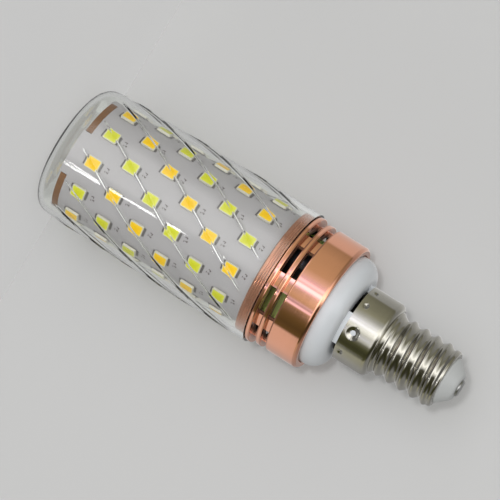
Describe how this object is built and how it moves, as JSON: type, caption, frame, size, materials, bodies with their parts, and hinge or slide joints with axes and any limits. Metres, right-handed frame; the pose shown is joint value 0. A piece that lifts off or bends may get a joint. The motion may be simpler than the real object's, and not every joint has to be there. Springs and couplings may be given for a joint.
{
  "type": "corn led bulb",
  "caption": "Corn lamp: LED strings wound round a tube in a ribbed clear cover, with a vented rose gold collar, white shoulder and small screw cap.",
  "frame": {"origin": "centre of the closed head's flat face, on which the lamp stands", "axes": "+Z along the lamp's axis from the head to the cap's centre contact; -Y is the side that the picture shows"},
  "size_m": [0.0306, 0.0306, 0.0967],
  "materials": {
    "clear_plastic": "clear, gloss",
    "sheet_mask": "satin pale grey solder mask",
    "brown_laminate": "brown board edge",
    "rose_gold_plate": "polished rose gold plating",
    "white_plastic": "fine satin",
    "nickel_plate": "drawn, bright nickel",
    "grey_plastic": "satin",
    "contact_metal": "tinned",
    "green_board": "green solder mask",
    "can_sleeve": "black shrink sleeve",
    "film_case": "ochre resin case",
    "chip_resin": "black moulded resin",
    "resistor_lacquer": "blue grey lacquer",
    "red_insulation": "soft insulation",
    "black_insulation": "soft insulation",
    "led_terminal": "tinned lead frame",
    "led_case": "white reflector plastic",
    "warm_phosphor": "orange yellow phosphor in silicone",
    "cool_phosphor": "lemon phosphor in silicone"
  },
  "bodies": {
    "root": {"clear_cover": "clear_plastic", "led_sheet": "sheet_mask", "end_board": "brown_laminate", "collar": "rose_gold_plate", "base_housing": "white_plastic", "screw_cap": "nickel_plate", "tip_insulator": "grey_plastic", "centre_contact": "contact_metal", "driver_board": "green_board", "smoothing_capacitor": "can_sleeve", "film_capacitor": "film_case", "bridge_rectifier": "chip_resin", "driver_chip": "chip_resin", "fuse_resistor": "resistor_lacquer", "live_lead": "red_insulation", "neutral_lead": "black_insulation", "led_feed_lead_positive": "red_insulation", "led_feed_lead_negative": "black_insulation", "warm_led_terminals": "led_terminal", "cool_led_terminals": "led_terminal", "end_led_terminals": "led_terminal", "warm_led_bodies": "led_case", "cool_led_bodies": "led_case", "end_led_bodies": "led_case", "warm_led_phosphors": "warm_phosphor", "cool_led_phosphors": "cool_phosphor", "end_led_phosphors": "warm_phosphor"}
  },
  "joints": []
}
